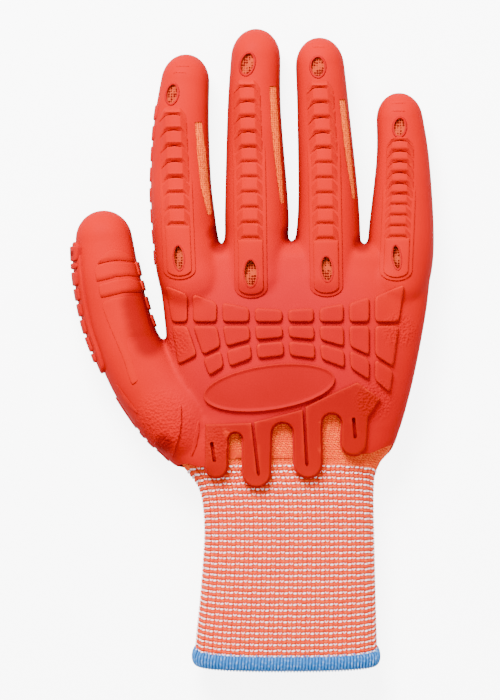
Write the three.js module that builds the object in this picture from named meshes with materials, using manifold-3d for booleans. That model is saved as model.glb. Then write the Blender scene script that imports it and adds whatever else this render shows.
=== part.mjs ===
// A right-hand impact glove, palm down: +X to the little finger, +Y to the fingertips, +Z out of the back of
// the hand, in millimetres. The tables below have x = 0 halfway across the glove and y = 0 halfway along it,
// and the finished glove is moved sideways, so that its origin is in the middle of the palm's underside.
//
// A seamless knitted liner runs on into a ribbed cuff with an overlocked hem. A rubber skin covers the hand,
// and moulded rubber guards stand on its back: one along each finger, three rows of knuckle blocks, an oval
// plate and a fluted guard over the wrist.
import * as THREE from "three";
import { mergeVertices } from "three/addons/utils/BufferGeometryUtils.js";
import Module from "manifold-3d";

const wasm = await Module();
wasm.setup();

// Wall thicknesses and gaps, measured inwards from the outside of the rubber skin.
const SKIN = 1.8;
const GAP = 0.3;
const LINER_GAP = 0.7;
const KNIT = 1.2;
const CUFF_WALL = 2;

// Heights of the moulded relief above the skin.
const FLANGE = 1.1;
const RIB = 2.7;
const BLOCK = 2.7;
const PLATE = 1.9;
const FLUTE = 2.3;
const BAND = 1.3;

// Sections from tip to wrist: centre x and y, half width and highest point of the skin. Each one stands on
// z = 0, and low is given where it doesn't.
const FINGERS = {
  index: {
    cap: 11.6,
    sections: [
      { y: 108.5, x: -26.3, half: 9.9, high: 20.5 },
      { y: 91.5, x: -27.8, half: 11.2, high: 23.5 },
      { y: 68, x: -28, half: 12.3, high: 26.7 },
      { y: 53, x: -26.1, half: 13.7, high: 29.5 },
      { y: 34, x: -24.3, half: 13.8, high: 31.6 },
      { y: 21, x: -21, half: 8, high: 22, low: 4 },
    ],
  },
  middle: {
    cap: 12.1,
    sections: [
      { y: 118.3, x: 2.3, half: 10.1, high: 21.5 },
      { y: 96.4, x: 1.7, half: 10.9, high: 24.5 },
      { y: 57.5, x: 2.4, half: 13.2, high: 31 },
      { y: 34, x: 2, half: 13.8, high: 32.6 },
      { y: 21, x: 3, half: 8, high: 22, low: 4 },
    ],
  },
  ring: {
    cap: 11.9,
    sections: [
      { y: 115, x: 28.4, half: 9.9, high: 20.5 },
      { y: 96.4, x: 29.7, half: 10.6, high: 24 },
      { y: 57.5, x: 31.8, half: 12.4, high: 30 },
      { y: 34, x: 30.9, half: 13.8, high: 31.8 },
      { y: 21, x: 29, half: 8, high: 22, low: 4 },
    ],
  },
  little: {
    cap: 11.3,
    sections: [
      { y: 93.2, x: 60.8, half: 9.5, high: 19 },
      { y: 77, x: 62, half: 10.8, high: 21.5 },
      { y: 50.6, x: 61.4, half: 13.1, high: 27 },
      { y: 34, x: 60.2, half: 13.6, high: 29 },
      { y: 21, x: 54, half: 8, high: 20, low: 4 },
    ],
  },
  thumb: {
    cap: 12.1,
    sections: [
      { y: 44.6, x: -59.2, half: 11.6, high: 23 },
      { y: 30, x: -57.3, half: 12.6, high: 25.5 },
      { y: 13.8, x: -53.4, half: 13.3, high: 27.5 },
      { y: -2, x: -47, half: 14, high: 29 },
      { y: -15.5, x: -39.4, half: 14.5, high: 30 },
      { y: -30.4, x: -26.3, half: 14.8, high: 31 },
      { y: -40.5, x: -9, half: 10, high: 22, low: 4 },
    ],
  },
};

const HAND = {
  cap: 8.5,
  square: true,
  sections: [
    { y: 35.6, x: 17.8, half: 55.6, high: 29.5 },
    { y: 17, x: 18.2, half: 53.3, high: 33 },
    { y: -8, x: 17.3, half: 49.6, high: 34 },
    { y: -26.3, x: 17, half: 45.4, high: 32 },
    { y: -39.7, x: 14.3, half: 43.5, high: 30 },
    { y: -46.5, x: 11.4, half: 41.4, high: 29 },
    { y: -51, x: 14, half: 37.4, high: 28.5 },
    { y: -62, x: 15.4, half: 36, high: 28 },
  ],
};

// The knitted cuff's outside, from under the skin to the hem.
const CUFF = [
  { y: -46.7, x: 11.6, half: 38.6, high: 26.2, low: 2.2 },
  { y: -51, x: 14, half: 35, high: 25.9, low: 2.2 },
  { y: -56, x: 14.9, half: 34.5, high: 25.8 },
  { y: -62, x: 15.4, half: 34, high: 25.6 },
  { y: -75, x: 15.9, half: 33.8, high: 25.4 },
  { y: -98, x: 15.4, half: 34.8, high: 25.2 },
  { y: -117, x: 14.7, half: 36, high: 25 },
  { y: -130, x: 14.6, half: 36.9, high: 25 },
];
const CUFF_END = { y: -118, lean: 0.26, mid: 12.5 };
const HEM = { half: 4.1, radius: 1.75, turns: 28, sides: 8 };
const HEM_LIFT = 0.05;

const ROUND = { finger: 2.3, hand: 2.7 }; // exponents of the rounded sections: 2 is an ellipse
const SIDES = { finger: 10, hand: 18 };
const LINER_SIDES = { finger: 8, hand: 16 };
const DOME = { rings: 2, angle: 1.34 };
const FAR = 400;
const SIDE = 90;
const LINER_END = -46.4;
// Where the skin is parted: across the finger roots, and along the open web between thumb and hand.
const FINGER_CUT = 53.5;
const FINGER_EDGES = [-44, -11.4, 17.4, 46.6, SIDE];
const THUMB_WEB = [[-36.1, 12.2], [-38.8, 23.5], [-41, 33], [-43, 45], [-44, 70]];
const PALM_EDGE = [[SIDE, -37], [60, -39], [45, -50], [-15, -50], [-34, -46], [-SIDE, -41]];
const PALM_MIDDLE = 17.6;
const MID_HEIGHT = 14; // the back of the hand is above this, and the palm below

// A guard along each finger: a line from its tip end to its knuckle end, its ribs and its two vents.
const GUARDS = {
  index: {
    tip: [-31.3, 98],
    bend: [-30.4, 80],
    end: [-28.4, 32.5],
    ribs: { first: 95.6, pitch: 6.25, count: 8 },
    vents: [
      { x: -31.5, y: 103.3, rx: 2, ry: 3.8, turn: -10 },
      { x: -28.6, y: 37, rx: 1.8, ry: 4.7, turn: 4 },
    ],
  },
  middle: {
    tip: [-1.5, 109.5],
    bend: [-0.3, 75],
    end: [0.4, 25],
    ribs: { first: 106.6, pitch: 6.15, count: 11 },
    vents: [
      { x: -1.1, y: 115.4, rx: 2.4, ry: 4.2, turn: -14 },
      { x: 0.2, y: 30.8, rx: 2.4, ry: 5.2, turn: 0 },
    ],
  },
  ring: {
    tip: [28, 108.5],
    bend: [29.8, 80],
    end: [30.7, 25.6],
    ribs: { first: 105.8, pitch: 6.1, count: 11 },
    vents: [
      { x: 27.4, y: 114.3, rx: 2.5, ry: 3.8, turn: 0 },
      { x: 30.8, y: 32.6, rx: 2.1, ry: 4.8, turn: 4 },
    ],
  },
  little: {
    tip: [60.6, 87.5],
    bend: [60.2, 65],
    end: [58.6, 32],
    ribs: { first: 84.5, pitch: 4.1, count: 10 },
    vents: [
      { x: 60.4, y: 90, rx: 2.1, ry: 3.5, turn: -6 },
      { x: 58.9, y: 37.3, rx: 1.4, ry: 4.6, turn: 6 },
    ],
  },
};
const GUARD_HALF = { flange: 6.6, rib: 4.4, pad: 4.8 };
const GUARD_END = { flange: 3.6, pad: 2.4 };
const RIB_DROP = 1.8; // how far a rib's ends fall behind its middle
const RIB_GROOVE = 1.1;

// Slits beside three fingers that show the knit: the line's three points and half its width.
const SLITS = {
  index: { line: [[-21, 91.2], [-19.4, 70], [-16, 55]], half: 1.1 },
  middle: { line: [[9.3, 106.5], [10.9, 82.6], [13, 59]], half: 1.3 },
  ring: { line: [[37.3, 101], [39.5, 84], [41.8, 61]], half: 1.2 },
};

// The knuckle blocks lie between leaning columns and rows that bow with the square of the distance from
// MID_X.
const COLUMNS = [
  { x: -31.2, lean: 0.15 },
  { x: -24.1, lean: 0.3 },
  { x: -12.2, lean: 0.16 },
  { x: 0.8, lean: 0.07 },
  { x: 14.1, lean: 0.05 },
  { x: 26.7, lean: 0.04 },
  { x: 38.6, lean: 0.03 },
  { x: 49, lean: 0 },
  { x: 61, lean: -0.13 },
];
const ROWS = [
  { y: 17, bow: 0.00425 },
  { y: 10.5, bow: 0 },
  { y: 4.3, bow: -0.006 },
  { y: -3, bow: -0.0081 },
];
const MID_X = 14.2;
const LEAN_FROM = 10.5;
const BLOCK_GAP = { column: 1.2, row: 0.85 };
const BLOCK_CORNER = 1.1;
// The rows' names, and the column where each starts.
const BLOCK_ROWS = [{ name: "upper", start: 0 }, { name: "middle", start: 0 }, { name: "lower", start: 1 }];

const BADGE = { x: 7.7, y: -15.1, rx: 26.6, ry: 9, turn: 8.1, rim: 1.2, dish: 0.6 };

// The wrist guard's flutes, each a tongue that hangs over the cuff, with a slot down its middle.
const FLUTES = [
  { x: -13.6, half: 4.9, end: -51.8, slot: [[-15.4, -36.9], [-14.2, -45]] },
  { x: 2.6, half: 6, end: -55.5, slot: [[0.8, -27], [3.5, -50.5]] },
  { x: 23.3, half: 6, end: -51.8, slot: [[21.5, -21], [22.9, -46.6]] },
  { x: 41.7, half: 5.6, end: -42.9, slot: [[41.5, -27.1], [42.3, -35.4]] },
];
const SLOT_HALF = 0.8;
const FLUTE_ROOT = -36;
const FLUTE_EDGE = 0.6; // how far the guard stays inside the skin's edge
// The arches between the flutes, where the knit shows.
const ARCHES = [
  { x: -5.9, half: 2.5, top: -33.6 },
  { x: 13, half: 4, top: -29.6 },
  { x: 32.8, half: 3.6, top: -25.9 },
];
// The edge of the skin across the back of the wrist, and the wrist guard's upper edge, left to right.
const WRIST_EDGE = [
  [-46, -37.5], [-40.5, -39.3], [-32.4, -42.5], [-24.3, -45.8], [-18.6, -47.8], [-13.6, -47], [2.6, -50],
  [23.3, -46], [41.7, -38.4], [48.5, -41.6], [54, -39.2], [59, -37.7], [72, -36],
];
const GUARD_TOP = [
  [-17.4, -30], [0.8, -29.2], [20.6, -24], [24, -22.4], [43, -13], [52.3, -19.5], [47.4, -27.2],
];

// Bands across the top of the thumb: the heights of each one's far and near edge at its left and right end.
const THUMB_BANDS = [
  { left: -59, right: -46.2, far: [36.2, 37.4], near: [34.6, 36.4] },
  { left: -61.4, right: -44.2, far: [33, 34.8], near: [28.3, 29.9] },
  { left: -60.4, right: -42.6, far: [26.8, 28.3], near: [21.8, 23.3] },
];
// The thumb's guard runs down its outer side as square teeth. Places are distances along the thumb's middle.
const THUMB_TEETH = { first: 15, pitch: 6.2, count: 6, length: 4.9, low: 8, high: 21 };
const THUMB_BACKING = { length: 8.5, low: 6.5, high: 22.5 };
const THUMB_TOP = { at: 5.6, length: 12.5, low: 8, high: 22 };
const THUMB_VENT = { at: 5.9, length: 5.8, low: 13.5, high: 18.5 };
const THUMB_CORE = 4; // none of these reaches nearer to the thumb's middle than this

const COLOURS = {
  skin: { color: 0xf04a30, roughness: 0.62, metalness: 0 },
  guard: { color: 0xf4552f, roughness: 0.58, metalness: 0 },
  knit: { color: 0xf58a4a, roughness: 0.9, metalness: 0 },
  cuff: { color: 0xf59a78, roughness: 0.92, metalness: 0 },
  hem: { color: 0x5a9bd6, roughness: 0.85, metalness: 0 },
};

// A closed geometry as a solid that booleans can cut.
function solidOf(geometry) {
  geometry.deleteAttribute("normal");
  geometry.deleteAttribute("uv");
  const merged = mergeVertices(geometry, 1e-4);
  return new wasm.Manifold(
    new wasm.Mesh({
      numProp: 3,
      vertProperties: merged.attributes.position.array,
      triVerts: new Uint32Array(merged.index.array),
    }),
  );
}

// Rings of equal length joined into one skin. It runs back into the first ring if closed is true, and has a
// fan on each end ring otherwise.
function ringsToSolid(rings, closed = false) {
  const sides = rings[0].length;
  const last = rings.length - 1;
  const points = rings.flat();
  const corner = (r, i) => (r % rings.length) * sides + (i % sides);
  const faces = [];
  for (let r = 0; r < last + Number(closed); r++)
    for (let i = 0; i < sides; i++) {
      faces.push(corner(r, i), corner(r, i + 1), corner(r + 1, i));
      faces.push(corner(r, i + 1), corner(r + 1, i + 1), corner(r + 1, i));
    }
  if (!closed) {
    const start = points.length;
    points.push(centreOf(rings[0]), centreOf(rings[last]));
    for (let i = 0; i < sides; i++) {
      faces.push(corner(0, i), start, corner(0, i + 1));
      faces.push(corner(last, i), corner(last, i + 1), start + 1);
    }
  }
  const geometry = new THREE.BufferGeometry().setFromPoints(points);
  geometry.setIndex(faces);
  return solidOf(geometry);
}

function centreOf(ring) {
  const sum = ring.reduce((total, point) => total.add(point), new THREE.Vector3());
  return sum.divideScalar(ring.length);
}

// One rounded section: a superellipse upright on the direction across.
function sectionRing(centre, across, half, halfHeight, round, sides) {
  const power = (value) => Math.sign(value) * Math.abs(value) ** (2 / round);
  const top = power(Math.sin((2 * Math.PI * Math.round(sides / 4)) / sides));
  return Array.from({ length: sides }, (_, i) => {
    const angle = (2 * Math.PI * i) / sides;
    const side = half * power(Math.cos(angle));
    return new THREE.Vector3(
      centre.x + across.x * side,
      centre.y + across.y * side,
      centre.z + (halfHeight * power(Math.sin(angle))) / top,
    );
  });
}

// A tube through sections from tip to wrist, grown outwards by grow, with a domed tip if cap is given. Its
// sections lie across its own run, or square to the hand if square is true.
function limb({ sections, cap, square }, grow, round, sides) {
  const lows = sections.map((s) => s.low ?? 0);
  const spots = sections.map((s, i) => new THREE.Vector3(s.x, s.y, (lows[i] + s.high) / 2));
  const rings = sections.map((s, i) => {
    const before = spots[Math.max(i - 1, 0)];
    const after = spots[Math.min(i + 1, spots.length - 1)];
    const along = new THREE.Vector3(after.x - before.x, after.y - before.y, 0).normalize();
    const across = square ? new THREE.Vector3(1, 0, 0) : new THREE.Vector3(-along.y, along.x, 0);
    const halfHeight = (s.high - lows[i]) / 2;
    return sectionRing(spots[i], across, s.half + grow, halfHeight + grow, round, sides);
  });
  if (!cap) return ringsToSolid(rings);
  const out = new THREE.Vector3(spots[0].x - spots[1].x, spots[0].y - spots[1].y, 0).normalize();
  return ringsToSolid([...domeRings(rings[0], spots[0], out, cap + grow), ...rings]);
}

// A domed tip: the first ring pushed outwards and shrunk, step by step.
function domeRings(ring, centre, out, length) {
  return Array.from({ length: DOME.rings }, (_, i) => {
    const angle = (DOME.angle * (DOME.rings - i)) / DOME.rings;
    const shift = out.clone().multiplyScalar(length * Math.sin(angle));
    const shrunk = (point) => point.clone().sub(centre).multiplyScalar(Math.cos(angle));
    return ring.map((point) => shrunk(point).add(centre).add(shift));
  });
}

// An outline in plan pushed up from one height to another.
function prism(outline, from, to) {
  const shape = new THREE.Shape(outline.map(([x, y]) => new THREE.Vector2(x, y)));
  const geometry = new THREE.ExtrudeGeometry(shape, { depth: to - from, bevelEnabled: false });
  return solidOf(geometry.translate(0, 0, from));
}

function ellipse({ x, y, rx, ry, turn }, points = 16) {
  const tilt = THREE.MathUtils.degToRad(turn);
  return Array.from({ length: points }, (_, i) => {
    const angle = (2 * Math.PI * i) / points;
    const u = rx * Math.cos(angle);
    const v = ry * Math.sin(angle);
    return [x + u * Math.cos(tilt) - v * Math.sin(tilt), y + u * Math.sin(tilt) + v * Math.cos(tilt)];
  });
}

// A strip of even width along a line of points.
function strip(line, half) {
  const side = (sign) =>
    line.map(([x, y], i) => {
      const [ax, ay] = line[Math.max(i - 1, 0)];
      const [bx, by] = line[Math.min(i + 1, line.length - 1)];
      const length = Math.hypot(bx - ax, by - ay);
      return [x - (sign * half * (by - ay)) / length, y + (sign * half * (bx - ax)) / length];
    });
  return [...side(1), ...side(-1).reverse()];
}

// A tongue with round lower end, or with round upper end if up is true.
function tongue(x, half, end, root, up) {
  const steps = 4;
  const turn = Array.from({ length: steps + 1 }, (_, i) => {
    const angle = (Math.PI * i) / steps;
    const rise = half * Math.sin(angle);
    return [x - half * Math.cos(angle), up ? end - half + rise : end + half - rise];
  });
  return [[x - half, root], ...turn, [x + half, root]];
}

const rectangle = (left, right, bottom, top) => [[left, bottom], [right, bottom], [right, top], [left, top]];
const above = (height) => prism(rectangle(-FAR, FAR, -FAR, FAR), height, FAR);
const backPrism = (outline) => prism(outline, MID_HEIGHT, FAR);
const fullPrism = (outline) => prism(outline, -1, FAR);
const mergeAll = (solids) => solids.reduce((all, next) => all.add(next));

// The whole hand, grown by an amount and flattened underneath.
function handSolid(grow, sides = SIDES) {
  const fingers = Object.values(FINGERS).map((finger) =>
    limb(finger, grow, ROUND.finger, sides.finger),
  );
  const hand = limb(HAND, grow, ROUND.hand, sides.hand);
  return mergeAll([hand, ...fingers]).intersect(above(Math.max(-grow, 0)));
}

// What the skin leaves bare at the wrist: margin makes the arches wider and the flutes narrower.
function bareWrist(margin) {
  const edge = WRIST_EDGE.map(([x, y]) => [x, y + margin]);
  const below = [...edge, [SIDE, edge.at(-1)[1]], [SIDE, -SIDE], [-SIDE, -SIDE], [-SIDE, edge[0][1]]];
  const flutes = FLUTES.map((f) => tongue(f.x, f.half - margin, f.end + margin, FLUTE_ROOT, false));
  const arches = ARCHES.map((a) => tongue(a.x, a.half + margin, a.top + margin, -SIDE, true));
  const bare = backPrism(below).subtract(mergeAll(flutes.map(backPrism)));
  return mergeAll([bare, ...arches.map(backPrism)]);
}

// A block that stands out of the thumb's outer side, at a distance along its middle.
function thumbBlock(at, { length, low, high }) {
  const { sections } = FINGERS.thumb;
  const middle = new THREE.CatmullRomCurve3(sections.map((s) => new THREE.Vector3(s.x, s.y, 0)));
  const spot = middle.getPointAt(at / middle.getLength());
  const along = middle.getTangentAt(at / middle.getLength());
  const reach = sections[0].half * 2;
  const geometry = new THREE.BoxGeometry(reach, length, high - low);
  geometry.translate(-reach / 2 - THUMB_CORE, 0, 0);
  geometry.rotateZ(Math.atan2(along.x, -along.y));
  geometry.translate(spot.x, spot.y, (low + high) / 2);
  return solidOf(geometry);
}

const outside = handSolid(0);
const seat = handSolid(GAP);
const raised = new Map();
// The layer between the seat of the guards and a height above the skin.
function layer(height) {
  if (!raised.has(height)) raised.set(height, handSolid(height).subtract(seat));
  return raised.get(height);
}

// A relief in plan, on the back of the hand only.
const onBack = (outline, height) => backPrism(outline).intersect(layer(height));

function ventSolids() {
  const ovals = Object.values(GUARDS).flatMap((guard) => guard.vents.map((vent) => ellipse(vent, 8)));
  const slits = Object.values(SLITS).map((slit) => strip(slit.line, slit.half));
  return mergeAll([...[...ovals, ...slits].map(backPrism), thumbBlock(THUMB_VENT.at, THUMB_VENT)]);
}

const vents = ventSolids();

// The rubber skin with its vents and wrist edge, before it is parted at the finger roots.
function skinSolid() {
  const barePalm = prism([[-SIDE, -SIDE], [SIDE, -SIDE], ...PALM_EDGE], -1, MID_HEIGHT);
  return outside
    .subtract(handSolid(-SKIN))
    .subtract(vents)
    .subtract(bareWrist(0))
    .subtract(barePalm);
}

// The skin parted at the finger roots: one stall for each finger, and the hand.
function skinParts() {
  const skin = skinSolid();
  const fingerArea = (from, to, bottom) => fullPrism(rectangle(from, to, bottom, FAR));
  const thumbArea = (bottom) => {
    const web = THUMB_WEB.map(([x, y], i) => [x, i ? y : bottom]);
    return fullPrism([[-SIDE, bottom], ...web, [-SIDE, THUMB_WEB.at(-1)[1]]]);
  };
  const parts = {};
  ["index", "middle", "ring", "little"].forEach((name, i) => {
    const area = fingerArea(FINGER_EDGES[i], FINGER_EDGES[i + 1], FINGER_CUT + GAP);
    parts[`${name}_stall`] = skin.intersect(area);
  });
  const [[, thumbCut]] = THUMB_WEB;
  parts.thumb_stall = skin.intersect(thumbArea(thumbCut + GAP));
  const beyond = fingerArea(FINGER_EDGES[0], FINGER_EDGES.at(-1), FINGER_CUT);
  parts.hand_skin = skin.subtract(beyond).subtract(thumbArea(thumbCut));
  return parts;
}

// The liner inside the skin: one knitted hand, open at the wrist.
function linerSolid() {
  const open = fullPrism(rectangle(-SIDE, SIDE, LINER_END, FAR));
  const inset = SKIN + LINER_GAP;
  return handSolid(-inset, LINER_SIDES)
    .subtract(handSolid(-inset - KNIT, LINER_SIDES))
    .intersect(open);
}

const cuffLimb = (rows, grow) => limb({ sections: rows, square: true }, grow, ROUND.hand, SIDES.hand);

// The slanting plane that the cuff ends in, as everything on its far side.
function cuffCut() {
  const { y, lean, mid } = CUFF_END;
  const geometry = new THREE.BoxGeometry(FAR, FAR, FAR);
  geometry.translate(0, -FAR / 2, 0);
  geometry.rotateX(Math.atan(lean));
  geometry.translate(0, y, mid);
  return solidOf(geometry);
}

function cuffSolid() {
  const before = { ...CUFF[0], y: CUFF[0].y + 1 };
  const after = { ...CUFF.at(-1), y: CUFF.at(-1).y - 1 };
  const inside = cuffLimb([before, ...CUFF, after], -CUFF_WALL);
  return cuffLimb(CUFF, 0).subtract(inside).subtract(cuffCut());
}

// The hem: a roll of oval section that follows the cuff's slanting end.
function hemSolid() {
  const { y, lean, mid } = CUFF_END;
  const { half, radius, turns, sides } = HEM;
  const end = CUFF.at(-1);
  const inset = CUFF_WALL / 2;
  const centre = new THREE.Vector3(end.x, y - half - GAP, end.high / 2);
  const across = new THREE.Vector3(1, 0, 0);
  const path = sectionRing(centre, across, end.half - inset, end.high / 2 - inset, ROUND.hand, turns);
  path.forEach((point) => {
    point.z = Math.max(point.z, radius + HEM_LIFT);
    point.y -= lean * (point.z - mid);
  });
  const rings = path.map((point, i) => {
    const along = path[(i + 1) % turns].clone().sub(path.at(i - 1)).normalize();
    const out = new THREE.Vector3().crossVectors(along, new THREE.Vector3(0, 1, 0)).normalize();
    const up = new THREE.Vector3().crossVectors(along, out);
    return Array.from({ length: sides }, (_, k) => {
      const angle = (2 * Math.PI * k) / sides;
      const reach = out.clone().multiplyScalar(radius * Math.cos(angle));
      return reach.addScaledVector(up, half * Math.sin(angle)).add(point);
    });
  });
  return ringsToSolid(rings, true);
}

// Where a guard's middle line is at a distance along the hand.
function guardMiddle(guard, y) {
  const [from, to] = y > guard.bend[1] ? [guard.tip, guard.bend] : [guard.bend, guard.end];
  return THREE.MathUtils.mapLinear(y, from[1], to[1], from[0], to[0]);
}

// One rib in plan: its far edge is arched, and its near edge follows the next rib's.
function ribOutline(guard, far) {
  const near = far - guard.ribs.pitch + RIB_GROOVE;
  const x = guardMiddle(guard, (far + near) / 2);
  const arch = (y) => [
    [x - GUARD_HALF.rib, y - RIB_DROP],
    [x, y],
    [x + GUARD_HALF.rib, y - RIB_DROP],
  ];
  return [...arch(near), ...arch(far).reverse()];
}

// A strip of a guard's outline with a round end at the knuckle.
function guardStrip(guard, from, half, endLength) {
  const [x, y] = guard.end;
  const line = [[guardMiddle(guard, from), from], ...(from > guard.bend[1] ? [guard.bend] : []), guard.end];
  const end = ellipse({ x, y, rx: half, ry: endLength, turn: 0 }, 8);
  return backPrism(strip(line, half)).add(backPrism(end));
}

// A finger's guard: a low flange, arched ribs on it, and a pad round the knuckle vent.
function guardSolid(guard) {
  const { first, pitch, count } = guard.ribs;
  const ribs = Array.from({ length: count }, (_, i) => backPrism(ribOutline(guard, first - i * pitch)));
  const flange = guardStrip(guard, first - pitch / 2, GUARD_HALF.flange, GUARD_END.flange);
  const pad = guardStrip(guard, first - pitch * count, GUARD_HALF.pad, GUARD_END.pad);
  return mergeAll([
    flange.intersect(layer(FLANGE)),
    mergeAll(ribs).intersect(layer(RIB)),
    pad.intersect(layer(PLATE)),
  ]).subtract(vents);
}

// The thumb's guard: a backing down its outer side, with square teeth and a plate round the vent.
function thumbGuardSolid() {
  const { first, pitch, count } = THUMB_TEETH;
  const places = Array.from({ length: count }, (_, i) => first + i * pitch);
  const row = (shape) => mergeAll(places.map((place) => thumbBlock(place, shape)));
  return mergeAll([
    row(THUMB_TEETH).intersect(layer(RIB)),
    row(THUMB_BACKING).intersect(layer(FLANGE)),
    thumbBlock(THUMB_TOP.at, THUMB_TOP).intersect(layer(PLATE)),
  ]).subtract(vents);
}

function bandOutline({ left, right, far, near }) {
  return [[left, near[0]], [right, near[1]], [right, far[1]], [left, far[0]]];
}

// The line between two columns at a height, and a row's line at a place across.
const columnX = (column, y) => column.x - column.lean * (y - LEAN_FROM);
const rowY = (row, x) => row.y + row.bow * (x - MID_X) ** 2;

// Where a column and a row cross, moved by the gap between blocks.
function crossing(column, row, shiftX, shiftY) {
  let y = row.y;
  for (let i = 0; i < 4; i++) y = rowY(row, columnX(column, y));
  return new THREE.Vector2(columnX(column, y) + shiftX, y + shiftY);
}

// One knuckle block's outline, its corners cut off.
function blockOutline(c, r) {
  const { column, row } = BLOCK_GAP;
  const corners = [
    crossing(COLUMNS[c], ROWS[r + 1], column, row),
    crossing(COLUMNS[c + 1], ROWS[r + 1], -column, row),
    crossing(COLUMNS[c + 1], ROWS[r], -column, -row),
    crossing(COLUMNS[c], ROWS[r], column, -row),
  ];
  return corners.flatMap((corner, i) => {
    const before = corners[(i + 3) % 4];
    const after = corners[(i + 1) % 4];
    const towards = (other) =>
      corner.clone().add(other.clone().sub(corner).setLength(BLOCK_CORNER)).toArray();
    return [towards(before), towards(after)];
  });
}

function wristGuardSolid() {
  const [left] = GUARD_TOP[0];
  const [right] = GUARD_TOP.at(-1);
  const outline = [[left, -SIDE], [right, -SIDE], ...GUARD_TOP.toReversed()];
  const slots = FLUTES.map((flute) => backPrism(strip(flute.slot, SLOT_HALF)));
  return onBack(outline, FLUTE).subtract(bareWrist(FLUTE_EDGE)).subtract(mergeAll(slots));
}

// The oval plate, with a shallow dish inside its rim.
function badgeSolid() {
  const { rim, dish, rx, ry } = BADGE;
  const inner = backPrism(ellipse({ ...BADGE, rx: rx - rim, ry: ry - rim }, 32));
  const plate = onBack(ellipse(BADGE, 32), PLATE);
  return plate.subtract(inner.subtract(handSolid(PLATE - dish)));
}

function meshOf(name, solid, finish) {
  const { vertProperties, triVerts } = solid.getMesh();
  const geometry = new THREE.BufferGeometry();
  geometry.setAttribute("position", new THREE.BufferAttribute(new Float32Array(vertProperties), 3));
  geometry.setIndex(new THREE.BufferAttribute(new Uint32Array(triVerts), 1));
  geometry.computeVertexNormals();
  const mesh = new THREE.Mesh(geometry, new THREE.MeshStandardMaterial(COLOURS[finish]));
  mesh.name = name;
  return mesh;
}

const glove = new THREE.Group();
glove.name = "impact_glove";

for (const [name, solid] of Object.entries(skinParts())) glove.add(meshOf(name, solid, "skin"));
glove.add(meshOf("knit_liner", linerSolid(), "knit"));
glove.add(meshOf("knit_cuff", cuffSolid(), "cuff"));
glove.add(meshOf("cuff_hem", hemSolid(), "hem"));
for (const [name, guard] of Object.entries(GUARDS))
  glove.add(meshOf(`${name}_guard`, guardSolid(guard), "guard"));
glove.add(meshOf("thumb_guard", thumbGuardSolid(), "guard"));
THUMB_BANDS.forEach((band, i) =>
  glove.add(meshOf(`thumb_band_${i + 1}`, onBack(bandOutline(band), BAND), "guard")),
);
BLOCK_ROWS.forEach(({ name, start }, r) => {
  for (let c = start; c + 1 < COLUMNS.length; c++)
    glove.add(meshOf(`knuckle_${name}_${c + 1}`, onBack(blockOutline(c, r), BLOCK), "guard"));
});
glove.add(meshOf("back_badge", badgeSolid(), "guard"));
glove.add(meshOf("wrist_guard", wristGuardSolid(), "guard"));

glove.position.x = -PALM_MIDDLE;

export default glove;
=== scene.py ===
# %% [markdown]
# # Dressing an impact glove
# The glove is a knitted liner with a ribbed cuff. Its hand is covered by a rubber skin, and soft rubber guards
# stand on the back: one along each finger, three rows of knuckle blocks, an oval plate and a fluted wrist
# guard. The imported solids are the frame, and each cell below makes one kind of piece over them.

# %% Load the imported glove
import math

import bmesh
import bpy
import numpy as np
from mathutils import Matrix, Vector
from mathutils.bvhtree import BVHTree


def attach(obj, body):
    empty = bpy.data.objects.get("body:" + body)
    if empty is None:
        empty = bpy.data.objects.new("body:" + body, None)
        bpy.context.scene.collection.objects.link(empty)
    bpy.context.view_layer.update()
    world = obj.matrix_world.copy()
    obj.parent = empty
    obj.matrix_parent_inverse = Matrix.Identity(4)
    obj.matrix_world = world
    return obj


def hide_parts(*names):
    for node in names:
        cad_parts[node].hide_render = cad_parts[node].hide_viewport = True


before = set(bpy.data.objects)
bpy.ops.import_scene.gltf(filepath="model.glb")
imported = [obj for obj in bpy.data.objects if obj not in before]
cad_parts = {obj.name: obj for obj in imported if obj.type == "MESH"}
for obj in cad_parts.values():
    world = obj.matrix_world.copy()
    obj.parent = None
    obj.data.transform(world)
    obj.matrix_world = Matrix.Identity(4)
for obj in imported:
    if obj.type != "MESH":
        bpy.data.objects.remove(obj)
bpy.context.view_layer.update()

print("nodes loaded:", len(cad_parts))

# %% [markdown]
# ## One set of measures
# Everything is worked out in millimetres, with x = 0 halfway across the glove and y = 0 halfway along it. Each
# finished mesh is then turned into metres and moved sideways, so that the origin is in the middle of the palm,
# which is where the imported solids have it. Moving the mesh, not the object, leaves every object unturned and
# unscaled at the origin, so that patterns on Object coordinates stay in place.

# %% The shared frame
PALM_MIDDLE = 17.6
TO_FRAME = Matrix.Scale(0.001, 4) @ Matrix.Translation((-PALM_MIDDLE, 0, 0))


def in_frame(x, y, z):
    return TO_FRAME @ Vector((x, y, z))


def linked(name, data):
    """An object that shows the data, in the scene."""
    obj = bpy.data.objects.new(name, data)
    bpy.context.scene.collection.objects.link(obj)
    return obj


# %% [markdown]
# ## The camera
# The photograph looks straight down on the back of the hand from far away. The camera comes first, because
# every later look depends on it. Its lens frames 283.5 mm, the height of the picture, at the height of the
# glove's widest outline, 14 mm above the floor.

# %% Camera
VIEW_HEIGHT = 283.5
CAMERA_AWAY = 2000
MID_HEIGHT = 14

camera_data = bpy.data.cameras.new("camera")
camera_data.sensor_width = 36
camera_data.lens = camera_data.sensor_width * CAMERA_AWAY / VIEW_HEIGHT
camera = linked("camera", camera_data)
camera.location = in_frame(0, 0, CAMERA_AWAY + MID_HEIGHT)
bpy.context.scene.camera = camera
print("lens:", round(camera_data.lens, 1), "mm")

# %% [markdown]
# ## The shape of the hand
# Each row is a section: its place along the hand, its middle, its half width, its highest and its lowest
# point. A smooth curve is run through the rows, as a pattern maker fairs a line through measured stations.
# The number before a finger's rows is the length of its domed tip. The round numbers say how square a section
# is: 2 is an oval, and more is squarer.

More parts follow.
